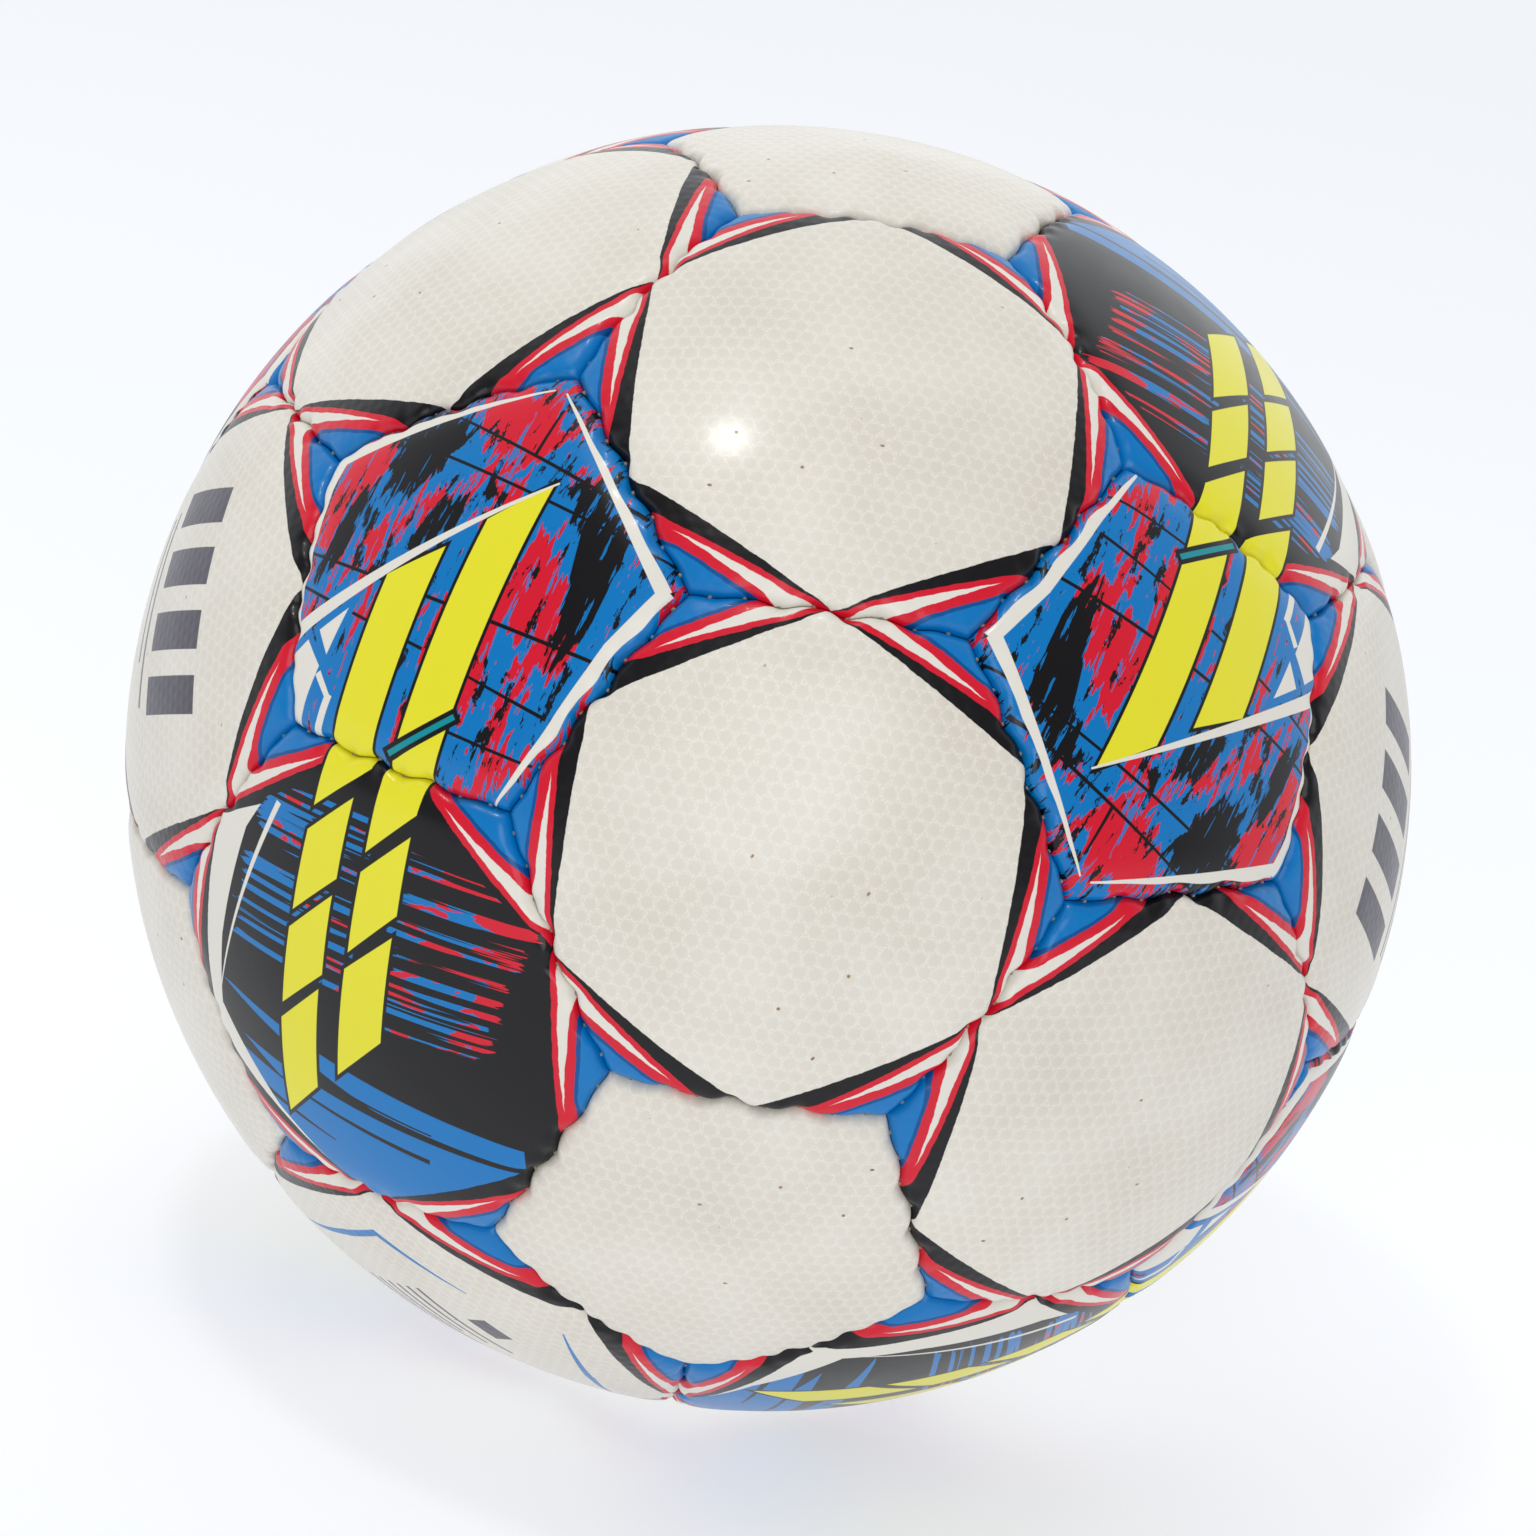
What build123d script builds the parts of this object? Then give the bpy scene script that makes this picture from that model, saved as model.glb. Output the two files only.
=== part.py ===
from build123d import *
import os
from itertools import combinations
from math import acos, asin, atan, cos, degrees, pi, radians, sin, sqrt, tan

# A hand-stitched ball of 32 panels: 12 pentagons and 20 hexagons round a soft bladder.
# The origin is the ball's centre, and +Z leaves through the middle of the top pentagon.
# All sizes are millimetres and degrees.

# Ball
circumference = 630.0
ball_r = circumference / (2 * pi)

# Cover: one moulded skin per panel, with its edges turned in at the seams
cover_t = 1.4
flange_t = 1.3  # the turned-in edge, pinched by the stitching
seam_allowance = 2.6  # the turned-in edge that hangs below the stitch holes
seam_gap = 0.1  # between the two turned-in edges of one seam
roll_r = 1.15  # rounded shoulder where the skin turns into the seam
corner_r = 2.2  # rounded corner of a panel, seen from outside

# Backing: a foam pad and a cloth lining behind each panel
foam_t = 2.2
lining_t = 1.0
glue_gap = 0.02
backing_gap = 0.2  # between the backing's edge and the thread beside it

# Stitching: a saddle stitch, so two threads pass each hole, one above the other
stitch_spacing = 4.8
corner_margin = 2.9  # the least length of seam past an end hole
stitch_depth = 2.8
thread_r = 0.32
thread_bend_r = 0.42  # the turn of a thread's middle as it leaves a hole
thread_gap = 0.02  # between the two threads in a hole
hole_gap = 0.05  # between the threads and the hole's wall
thread_tail = 1.2  # thread left past the end holes

# Bladder
bladder_t = 1.4
bladder_gap = 0.4  # below the turned-in edges

# Valve: a rubber socket through the bladder, with a soft plug that grips the needle
needle_r = 1.25
plug_r = 2.1
plug_head_r = 2.6
plug_head_h = 1.6
plug_gap = 0.02
neck_r = 3.5
neck_gap = 0.1
neck_recess = 0.5  # the neck's end below the ball's surface
socket_r = 4.4
socket_depth = 9.0  # below the bladder's wall
socket_flange_r = 9.0
socket_flange_t = 1.2
patch_r = 16.0
patch_t = 0.9
balance_r = 24.0
washer_r = 8.5
washer_gap = 0.2

# Where the threads lie, from the middle of a hole and from the middle of a seam
thread_offset = thread_r + thread_gap / 2
stitch_hole_r = thread_offset + thread_r + hole_gap
thread_row = seam_gap / 2 + flange_t + thread_bend_r
backing_inset = thread_row + thread_r + backing_gap

# Where each layer lies, as a distance from the ball's centre
stitch_r = ball_r - stitch_depth
flange_in_r = stitch_r - seam_allowance
foam_out_r = ball_r - cover_t - glue_gap
foam_in_r = foam_out_r - foam_t
lining_out_r = foam_in_r - glue_gap
lining_in_r = lining_out_r - lining_t
bladder_r = flange_in_r - bladder_gap
bladder_in_r = bladder_r - bladder_t

# Panel angles, all from the angle between two neighbouring pentagons
pentagon_step = atan(2)
neighbour = cos(pentagon_step)
pentagon_corner = atan(sin(pentagon_step) / (2 + neighbour))
pentagon_edge = atan(tan(pentagon_corner) * cos(pi / 5))
hexagon_corner = acos(sqrt((3 + 6 * neighbour) / (5 + 4 * neighbour)))
hexagon_edge = atan(tan(hexagon_corner) * cos(pi / 6))
seam_half = acos(cos(pentagon_corner) / cos(pentagon_edge))
stitches_per_seam = 1 + int((2 * seam_half * stitch_r - 2 * corner_margin) / stitch_spacing)
upper_ring = degrees(asin(neighbour))
top_hexagons = degrees(asin(sqrt((1 + 2 * neighbour) / 3)))
upper_hexagons = degrees(asin(neighbour / sqrt(3 + 6 * neighbour)))

# Names of the panels' rows and their turn about Z: (row, azimuth of the first, elevation, turn)
ring_step = 360 / 5
front = -90
half_step = front + ring_step / 2
pentagon_rows = [
    ("pentagon_upper", front, upper_ring, 180),
    ("pentagon_lower", half_step, -upper_ring, 0),
]
hexagon_rows = [
    ("hexagon_top", half_step, top_hexagons, 0),
    ("hexagon_upper", half_step, upper_hexagons, 0),
    ("hexagon_lower", front, -upper_hexagons, 0),
    ("hexagon_bottom", front, -top_hexagons, 0),
]
valve_panel = "hexagon_top_3"
balance_panel = "hexagon_bottom_1"


def facing(azimuth, elevation, turn=0):
    """The plane at the ball's centre whose normal leaves through the middle of a panel."""
    a, e, t = radians(azimuth), radians(elevation), radians(turn)
    east = Vector(-sin(a), cos(a), 0)
    out = Vector(cos(e) * cos(a), cos(e) * sin(a), sin(e))
    return Plane((0, 0, 0), x_dir=east * cos(t) + out.cross(east) * sin(t), z_dir=out)


def row_planes(rows):
    """The plane of each panel in the given rows, by name."""
    return {
        f"{row}_{i + 1}": facing(azimuth + i * ring_step, elevation, turn)
        for row, azimuth, elevation, turn in rows
        for i in range(5)
    }


pentagons = {
    "pentagon_top": facing(front, 90),
    **row_planes(pentagon_rows),
    "pentagon_bottom": facing(front, -90),
}
hexagons = row_planes(hexagon_rows)
valve_plane = hexagons[valve_panel]
balance_plane = hexagons[balance_panel]


def seam_frame(out, along):
    """The plane of a seam: x leaves through its middle, y runs along it, z crosses it."""
    return Plane((0, 0, 0), x_dir=out, z_dir=out.cross(along))


def panel_seams(sides, edge):
    """The seams round a panel that faces +Z, the first one towards +Y."""
    frames = []
    for i in range(sides):
        b = pi / 2 + i * 2 * pi / sides
        out = Vector(sin(edge) * cos(b), sin(edge) * sin(b), cos(edge))
        frames.append(seam_frame(out, Vector(-sin(b), cos(b), 0)))
    return frames


def stitch_angles():
    """Where the holes of one seam lie along it, as angles from the seam's middle."""
    step = stitch_spacing / stitch_r
    first = -step * (stitches_per_seam - 1) / 2
    return [first + i * step for i in range(stitches_per_seam)]


UP = (Align.CENTER, Align.CENTER, Align.MIN)


def build_wedge(sides, edge, inset, outer_r, inner_r):
    """The stretch of a spherical shell inside one panel's seams, drawn in by an inset."""
    with BuildPart() as wedge:
        Sphere(outer_r, rotation=(90, 0, 0))
        for seam in panel_seams(sides, edge):
            split(bisect_by=seam.offset(inset), keep=Keep.TOP)
        Sphere(inner_r, rotation=(90, 0, 0), mode=Mode.SUBTRACT)
    return wedge.part


def build_cover(sides, edge):
    """One panel's skin: a dished sheet whose edges turn in, punched for the stitches."""
    blank = build_wedge(sides, edge, seam_gap / 2, ball_r, flange_in_r)
    pocket = build_wedge(sides, edge, seam_gap / 2 + flange_t, ball_r - cover_t, flange_in_r / 2)
    with BuildPart() as cover:
        add(blank)
        fillet(cover.edges().filter_by(GeomType.LINE), corner_r)
        fillet(cover.edges().filter_by(lambda e: e.center().length > ball_r - roll_r), roll_r)
        add(pocket, mode=Mode.SUBTRACT)
        for seam in panel_seams(sides, edge):
            with Locations(*[seam.location * Pos(*along_stitches(a)) for a in stitch_angles()]):
                Cylinder(stitch_hole_r, 2 * (flange_t + seam_gap), mode=Mode.SUBTRACT)
    return cover.part


def along_stitches(angle, lift=0, across=0):
    """A point on the line of stitches, in the seam's frame, lifted towards the ball's surface."""
    return ((stitch_r + lift) * cos(angle), (stitch_r + lift) * sin(angle), across)


def thread_route(side):
    """The corners of one thread: through a hole, along to the next, and back through that."""
    lift = side * thread_offset
    tail = thread_tail / stitch_r
    angles = stitch_angles()
    points = [along_stitches(angles[0] - tail, lift, side * thread_row)]
    for angle in angles:
        points.append(along_stitches(angle, lift, side * thread_row))
        side = -side
        points.append(along_stitches(angle, lift, side * thread_row))
    return points + [along_stitches(angles[-1] + tail, lift, side * thread_row)]


def build_seam_threads():
    """The stitching of one seam: two threads, one above the other, that cross in every hole."""
    threads = []
    for side in (1, -1):
        with BuildPart() as thread:
            with BuildLine() as route:
                FilletPolyline(*thread_route(side), radius=thread_bend_r)
            with BuildSketch(Plane(route.line @ 0, z_dir=route.line % 0)):
                Circle(thread_r)
            sweep(path=route.line)
        threads.append(thread.part)
    return threads


def build_disc(plane, disc_r, outer_r, inner_r):
    """A round sheet curved like the ball, between two distances from its centre."""
    with BuildPart() as disc:
        with Locations(plane):
            Cylinder(disc_r, 2 * outer_r, align=UP)
        Sphere(outer_r, mode=Mode.INTERSECT)
        Sphere(inner_r, mode=Mode.SUBTRACT)
    return disc.part


def save(part, name):
    """Label a finished piece and write it to its own file."""
    part.label = name
    export_step(part, f"parts/{name}.step")


os.makedirs("parts", exist_ok=True)
neck_hole_r = neck_r + neck_gap

# Covers: one skin per panel, and a hole for the valve's neck in one hexagon
pentagon_cover = build_cover(5, pentagon_edge)
hexagon_cover = build_cover(6, hexagon_edge)
for name, plane in (pentagons | hexagons).items():
    with BuildPart() as cover:
        with Locations(plane):
            add(pentagon_cover if name in pentagons else hexagon_cover)
            if name == valve_panel:
                Cylinder(neck_hole_r, 2 * ball_r, align=UP, mode=Mode.SUBTRACT)
    save(cover.part, name)

# Foam pads, and cloth linings behind them; both are open round the valve
for layer, outer_r, inner_r, opening_r in (
    ("foam", foam_out_r, foam_in_r, washer_r + washer_gap),
    ("lining", lining_out_r, lining_in_r, neck_hole_r),
):
    pentagon_pad = build_wedge(5, pentagon_edge, backing_inset, outer_r, inner_r)
    hexagon_pad = build_wedge(6, hexagon_edge, backing_inset, outer_r, inner_r)
    with BuildPart() as pads:
        with Locations(*pentagons.values()):
            add(pentagon_pad)
    save(pads.part, f"{layer}_pentagons")
    with BuildPart() as pads:
        with Locations(*hexagons.values()):
            add(hexagon_pad)
        with Locations(valve_plane):
            Cylinder(opening_r, 2 * ball_r, align=UP, mode=Mode.SUBTRACT)
    save(pads.part, f"{layer}_hexagons")

# Stitching: the five seams round each pentagon, then every seam between two hexagons
seam_threads = build_seam_threads()
for name, plane in pentagons.items():
    with BuildPart() as thread:
        with Locations(*[plane.location * s.location for s in panel_seams(5, pentagon_edge)]):
            add(seam_threads)
    save(thread.part, f"thread_{name}")

middles = [plane.z_dir for plane in pentagons.values()]
neighbours = [(a, b) for a, b in combinations(middles, 2) if a.get_angle(b) < degrees(pentagon_step) + 1]
with BuildPart() as thread:
    with Locations(*[seam_frame((a + b).normalized(), (b - a).normalized()) for a, b in neighbours]):
        add(seam_threads)
save(thread.part, "thread_hexagons")

# Bladder: a thin rubber sphere, open where the valve's neck passes
with BuildPart() as bladder:
    Sphere(bladder_r)
    Sphere(bladder_in_r, mode=Mode.SUBTRACT)
    with Locations(valve_plane):
        Cylinder(neck_hole_r, 2 * ball_r, align=UP, mode=Mode.SUBTRACT)
save(bladder.part, "bladder")

# Valve socket: a rubber tube with a flange that seals against the bladder from inside
flange_out_r = bladder_in_r - glue_gap
flange_bottom = flange_out_r - socket_flange_t
flange_middle = flange_out_r - socket_flange_t / 2
socket_bottom = bladder_in_r - socket_depth
neck_top = ball_r - neck_recess
socket_flange = build_disc(valve_plane, socket_flange_r, flange_out_r, flange_bottom)
with BuildPart() as valve_socket:
    add(socket_flange)
    with Locations(valve_plane.offset(socket_bottom)):
        Cylinder(socket_r, flange_middle - socket_bottom, align=UP)
        Cylinder(neck_r, neck_top - socket_bottom, align=UP)
        Cylinder(plug_r + plug_gap, neck_top - socket_bottom, align=UP, mode=Mode.SUBTRACT)
    with Locations(valve_plane.offset(neck_top - plug_head_h)):
        Cylinder(plug_head_r + plug_gap, plug_head_h, align=UP, mode=Mode.SUBTRACT)
save(valve_socket.part, "valve_socket")

# Valve plug: a soft rubber core that closes on the inflating needle
with BuildPart() as valve_plug:
    with Locations(valve_plane.offset(socket_bottom)):
        Cylinder(plug_r, neck_top - socket_bottom, align=UP)
    with Locations(valve_plane.offset(neck_top - plug_head_h + plug_gap)):
        Cylinder(plug_head_r, plug_head_h - plug_gap, align=UP)
    with Locations(valve_plane.offset(socket_bottom)):
        Cylinder(needle_r, neck_top - socket_bottom, align=UP, mode=Mode.SUBTRACT)
save(valve_plug.part, "valve_plug")

# Valve patch, glued on the bladder round the neck; valve washer, under the panel's hole
patch_in_r = bladder_r + glue_gap
patch = build_disc(valve_plane, patch_r, patch_in_r + patch_t, patch_in_r)
washer = build_disc(valve_plane, washer_r, foam_out_r, foam_in_r)
for name, blank in (("valve_patch", patch), ("valve_washer", washer)):
    with BuildPart() as ring:
        add(blank)
        with Locations(valve_plane):
            Cylinder(neck_hole_r, 2 * ball_r, align=UP, mode=Mode.SUBTRACT)
    save(ring.part, name)

# Balance patch: as heavy as the valve, on the far side of the bladder
save(build_disc(balance_plane, balance_r, patch_in_r + patch_t, patch_in_r), "balance_patch")
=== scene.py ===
from math import acos, asin, atan, atan2, cos, degrees, exp, pi, radians, sin, sqrt, tan

import bmesh
import bpy
from mathutils import Matrix, Vector, noise


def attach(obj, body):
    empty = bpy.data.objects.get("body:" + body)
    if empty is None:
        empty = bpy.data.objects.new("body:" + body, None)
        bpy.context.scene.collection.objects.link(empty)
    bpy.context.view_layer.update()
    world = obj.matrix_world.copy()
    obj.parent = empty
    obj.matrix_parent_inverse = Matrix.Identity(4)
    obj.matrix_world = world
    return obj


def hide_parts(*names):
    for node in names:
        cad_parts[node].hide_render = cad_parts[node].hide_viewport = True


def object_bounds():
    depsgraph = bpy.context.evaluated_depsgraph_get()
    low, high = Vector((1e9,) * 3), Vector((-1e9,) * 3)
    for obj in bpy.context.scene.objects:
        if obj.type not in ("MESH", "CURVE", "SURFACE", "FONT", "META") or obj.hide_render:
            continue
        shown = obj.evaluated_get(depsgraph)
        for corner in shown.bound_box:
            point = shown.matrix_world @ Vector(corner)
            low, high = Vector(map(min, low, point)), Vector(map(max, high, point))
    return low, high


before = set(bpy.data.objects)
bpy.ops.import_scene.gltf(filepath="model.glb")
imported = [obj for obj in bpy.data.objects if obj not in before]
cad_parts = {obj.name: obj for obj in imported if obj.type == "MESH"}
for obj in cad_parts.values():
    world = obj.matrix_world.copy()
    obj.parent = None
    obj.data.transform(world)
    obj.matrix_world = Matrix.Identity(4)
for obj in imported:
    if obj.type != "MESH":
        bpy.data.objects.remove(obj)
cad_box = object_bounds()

# Panels: the ball's cover, 12 pentagons and 20 hexagons of coated synthetic leather. They are cut flat,
# printed, and sewn together inside out, so that each ends up as a shallow dish whose turned-in edges
# are pulled down into the seams by the stitches.
MM = 0.001
ball_r = (cad_box[1].z - cad_box[0].z) / 2
neighbour = 1 / sqrt(5)  # the cosine of the angle between two neighbouring pentagons
pentagon_corner = atan(2 * neighbour / (2 + neighbour))
pentagon_edge = atan(tan(pentagon_corner) * cos(pi / 5))
hexagon_corner = acos(sqrt((3 + 6 * neighbour) / (5 + 4 * neighbour)))
hexagon_edge = atan(tan(hexagon_corner) * cos(pi / 6))
seam_half = acos(cos(pentagon_corner) / cos(pentagon_edge))
flat_r = ball_r / MM  # millimetres on the flat panel for one unit of its map

# The skin's cross-section at a seam
skin_t = 1.4 * MM
flange_t = 1.3 * MM  # the turned-in edge
flange_depth = 5.4 * MM
half_gap = 0.05 * MM  # from the middle of the seam to the turned-in edge
shoulder_r = 1.8 * MM
shoulder_blend = 3  # a higher power makes two shoulders meet more sharply at a corner
valley_depth = 0.55 * MM
valley_w = 3.0 * MM
valley_reach = 4 * valley_w  # past this the seam has no effect

# The pinches where the stitches pull the seam down, and the seam's weave from side to side
stitches_per_seam = 8
stitch_spacing = 4.8 * MM
pinch_depth = 0.8 * MM
pinch_along = 1.25 * MM
pinch_across = 1.7 * MM
pinch_level = 0.5  # the share of a pinch that becomes a rise between the stitches
corner_pinch = 0.1  # what is left of the pinches at a panel's corners
weave_side = 0.5 * MM  # how far the seam swings to either side

ring_step = 72
upper_ring = degrees(asin(neighbour))
top_ring = degrees(asin(sqrt((1 + 2 * neighbour) / 3)))
middle_ring = degrees(asin(neighbour / sqrt(3 + 6 * neighbour)))
rings = [
    ("pentagon_upper", -90, upper_ring),
    ("pentagon_lower", -54, -upper_ring),
    ("hexagon_top", -54, top_ring),
    ("hexagon_upper", -54, middle_ring),
    ("hexagon_lower", -90, -middle_ring),
    ("hexagon_bottom", -90, -top_ring),
]


def direction(azimuth, elevation):
    """The unit vector that leaves the ball's middle at an azimuth and an elevation in degrees."""
    a, e = radians(azimuth), radians(elevation)
    return Vector((cos(e) * cos(a), cos(e) * sin(a), sin(e)))


middles = {"pentagon_top": Vector((0, 0, 1)), "pentagon_bottom": Vector((0, 0, -1))}
for ring, azimuth, elevation in rings:
    for i in range(5):
        middles[f"{ring}_{i + 1}"] = direction(azimuth + i * ring_step, elevation)
pentagons = [name for name in middles if name.startswith("pentagon")]
hexagons = [name for name in middles if name.startswith("hexagon")]

# The print runs over the seam between a camouflaged pentagon and one dark hexagon
dark_of = {
    "pentagon_upper_1": "hexagon_lower_1",
    "pentagon_upper_2": "hexagon_top_2",
    "pentagon_upper_5": "hexagon_top_4",
    "pentagon_lower_2": "hexagon_bottom_2",
    "pentagon_lower_3": "hexagon_upper_3",
    "pentagon_lower_4": "hexagon_bottom_5",
}
camo_of = {dark: camo for camo, dark in dark_of.items()}
upright_of = {
    "hexagon_bottom_1": "pentagon_lower_1",
    "hexagon_upper_2": "pentagon_upper_2",
    "hexagon_upper_5": "pentagon_upper_1",
}


def nearest_middle(names, out):
    """The panel's middle that is nearest to a direction, and the highest of those as near."""
    return max((middles[name] for name in names), key=lambda v: (round(v.dot(out), 4), v.z))


def print_frame(name):
    """The turn that stands a flat panel, facing +Z with its print's top towards +Y, in its place."""
    out = middles[name]
    if name in dark_of:
        up = -middles[dark_of[name]]
    elif name in camo_of:
        up = middles[camo_of[name]]
    elif name in upright_of:
        up = middles[upright_of[name]]
    elif name in hexagons:
        up = nearest_middle(pentagons, out)
    else:
        up = -nearest_middle(hexagons, out)
    y = (up - up.dot(out) * out).normalized()
    return Matrix((y.cross(out), y, out)).transposed().to_4x4()


def stitch_places():
    """Where a seam's stitches lie along it, in metres from its middle."""
    first = -stitch_spacing * (stitches_per_seam - 1) / 2
    return [first + i * stitch_spacing for i in range(stitches_per_seam)]


def seam_fade(s):
    """A share that falls from 1 in the middle of a seam to 0 at its ends."""
    return max(1 - (s / (ball_r * seam_half)) ** 2, 0)


def seam_weave(s):
    """How far the seam has swung to one side, at a distance along it from its middle."""
    return weave_side * sin(pi * s / stitch_spacing) * seam_fade(s)


def seam_sides(sides, edge, top):
    """For each side of a panel: the middle of its seam, the way along it and the way into the panel."""
    found = []
    for i in range(sides):
        b = top + i * 2 * pi / sides
        flat = Vector((cos(b), sin(b), 0))
        middle = flat * sin(edge) + Vector((0, 0, cos(edge)))
        inward = Vector((0, 0, sin(edge))) - flat * cos(edge)
        found.append((middle, Vector((-sin(b), cos(b), 0)), inward))
    return found


def skin_point(flat, seams):
    """The place on the pulled-down skin of a point of the flat panel, and its distance from a seam."""
    out = Vector((flat.x, flat.y, 1)).normalized()
    sunk = 0
    round_off = 0
    nearest = ball_r
    for middle, along, inward in seams:
        d = ball_r * out.dot(inward)
        nearest = min(nearest, d)
        if d > valley_reach:
            continue
        s = ball_r * atan2(out.dot(along), out.dot(middle))
        near_seam = exp(-((d / pinch_across) ** 2))
        out = out - inward * (seam_weave(s) * near_seam / ball_r)
        pull = sum(exp(-(((s - place) / pinch_along) ** 2)) for place in stitch_places())
        sunk += valley_depth * exp(-((d / valley_w) ** 2))
        sunk += pinch_depth * (pull - pinch_level) * near_seam * max(seam_fade(s), corner_pinch)
        if d < shoulder_r:
            drop = shoulder_r - sqrt(max(shoulder_r**2 - (shoulder_r - d) ** 2, 0))
            round_off += drop**shoulder_blend
    return out.normalized(), ball_r - sunk - round_off ** (1 / shoulder_blend), nearest


grid_cuts = 47
crowding = 0.7  # how much closer the rows of faces lie at a seam than in the middle


def flat_panel(sides, edge, top, opening):
    """A grid of faces over a flat panel, closer together towards the seams."""
    panel = bmesh.new()
    rim = tan(edge - half_gap / ball_r)
    turn = Matrix.Rotation(top - pi / 2 - pi / sides, 4, "Z")
    bmesh.ops.create_circle(
        panel, cap_ends=True, cap_tris=True, segments=sides, radius=rim / cos(pi / sides), matrix=turn
    )
    bmesh.ops.subdivide_edges(panel, edges=panel.edges[:], cuts=grid_cuts, use_grid_fill=True)
    bearings = [top + i * 2 * pi / sides for i in range(sides)]
    ways = [Vector((cos(b), sin(b), 0)) for b in bearings]
    hole = opening / ball_r
    for v in panel.verts:
        t = max(v.co.dot(way) for way in ways) / rim
        v.co *= 1 + crowding * (1 - t)
    if opening:
        inside = [v for v in panel.verts if max(v.co.dot(way) for way in ways) < hole]
        bmesh.ops.delete(panel, geom=inside, context="VERTS")
        ring = min(max(v.co.dot(way) for way in ways) for v in panel.verts)
        for v in panel.verts:
            t = max(v.co.dot(way) for way in ways)
            squareness = min((t - ring) / (2 * ring), 1)
            v.co = v.co.lerp(v.co.normalized() * t * hole / ring, 1 - squareness)
    return panel


def build_skin(sides, edge, top, opening=0):
    """One panel facing +Z: its printed face, its edges turned in at the seams, and its inner dish."""
    panel = flat_panel(sides, edge, top, opening)
    seams = seam_sides(sides, edge, top)
    turned = bmesh.ops.extrude_face_region(panel, geom=panel.faces[:], use_keep_orig=True)
    inner = {e for e in turned["geom"] if isinstance(e, bmesh.types.BMVert)}
    grid = panel.loops.layers.uv.new("print")
    for face in panel.faces:
        face.smooth = True
        for loop in face.loops:
            loop[grid].uv = loop.vert.co.xy
    for face in panel.faces:
        if len({v in inner for v in face.verts}) == 2:
            for e in face.edges:
                e.smooth = False
    for v in panel.verts:
        out, r, d = skin_point(v.co, seams)
        if v in inner:
            r = ball_r - (flange_depth if d < flange_t else skin_t)
        v.co = out * r
    bmesh.ops.recalc_face_normals(panel, faces=panel.faces[:])
    mesh = bpy.data.meshes.new("skin")
    panel.to_mesh(mesh)
    panel.free()
    return mesh


opening_r = 3.6 * MM  # for the valve's neck
hexagon_skin = build_skin(6, hexagon_edge, pi / 2)
pentagon_skin = build_skin(5, pentagon_edge, -pi / 2)
valve_skin = build_skin(6, hexagon_edge, pi / 2, opening_r)
valve_panel = "hexagon_top_3"
wave_size = 30  # the leather's slow waves, as turns of the noise in a metre
wave_depth = 0.12 * MM
covers = {}
for name in pentagons + hexagons:
    blank = valve_skin if name == valve_panel else pentagon_skin if name in pentagons else hexagon_skin
    skin = blank.copy()
    skin.name = f"cover_{name}"
    skin.transform(print_frame(name))
    for v in skin.vertices:
        v.co *= 1 + wave_depth * (noise.noise(v.co * wave_size) - 1) / ball_r
    covers[name] = bpy.data.objects.new(f"cover_{name}", skin)
    bpy.context.scene.collection.objects.link(covers[name])
    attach(covers[name], "root")
    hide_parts(name)


# Finish of the panels: a pearly coat over white leather, with inks printed under a clear film. The
# print is laid out in millimetres on the flat panel, from its middle, before the panels are sewn. The
# film of the pearly panels has fine cells pressed into it, whose walls are lightened in patches as a painted
# glint.
def colour(red, green, blue):
    """A printer's shade, 0 to 255, in linear light."""
    return (*[((c / 255 + 0.055) / 1.055) ** 2.4 for c in (red, green, blue)], 1)


pearl_white = colour(226, 221, 210)
pearl_shade = colour(213, 206, 193)
# Painted highlight: the lighter colour given to the glinting cell walls
painted_glint = colour(240, 238, 230)
ink_black = colour(14, 13, 16)
ink_red = colour(210, 22, 46)
ink_blue = colour(0, 116, 186)
ink_blue_dark = colour(0, 78, 142)
ink_yellow = colour(228, 221, 46)
ink_teal = colour(0, 140, 150)
ink_grey = colour(66, 62, 76)
ink_white = colour(224, 220, 210)
speck_brown = colour(150, 118, 80)
ink_edge = 0.1  # the width in millimetres over which an ink's edge fades


def feed(tree, socket, value):
    """Links an output to a socket, or sets the socket's own value."""
    if isinstance(value, bpy.types.NodeSocket):
        tree.links.new(value, socket)
    else:
        socket.default_value = value


def maths(tree, operation, *values, clamp=False):
    """One sum, and its result."""
    node = tree.nodes.new("ShaderNodeMath")
    node.operation = operation
    node.use_clamp = clamp
    for socket, value in zip(node.inputs, values):
        feed(tree, socket, value)
    return node.outputs[0]


def vector_maths(tree, operation, *values):
    """One sum of vectors, and its result."""
    node = tree.nodes.new("ShaderNodeVectorMath")
    node.operation = operation
    for socket, value in zip(node.inputs, values):
        feed(tree, socket, value)
    return node.outputs["Value" if operation in ("DOT_PRODUCT", "LENGTH") else "Vector"]


def mix_colours(tree, share, under, over):
    """One colour over another."""
    node = tree.nodes.new("ShaderNodeMix")
    node.data_type = "RGBA"
    feed(tree, node.inputs[0], share)
    feed(tree, node.inputs[6], under)
    feed(tree, node.inputs[7], over)
    return node.outputs[2]


def grain(tree, point, scale, detail=2.0, rough=0.5, stretch=(1, 1, 1)):
    """Noise at a scale of turns in a millimetre, drawn out by a stretch."""
    node = tree.nodes.new("ShaderNodeTexNoise")
    feed(tree, node.inputs["Vector"], vector_maths(tree, "MULTIPLY", point, stretch))
    feed(tree, node.inputs["Scale"], scale)
    feed(tree, node.inputs["Detail"], detail)
    feed(tree, node.inputs["Roughness"], rough)
    return node.outputs["Fac"]


def above(tree, value, level, softness):
    """A mask of where a value is over a level, with an edge of that softness."""
    steep = 1 / softness
    return maths(tree, "MULTIPLY_ADD", value, steep, 0.5 - level * steep, clamp=True)


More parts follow.
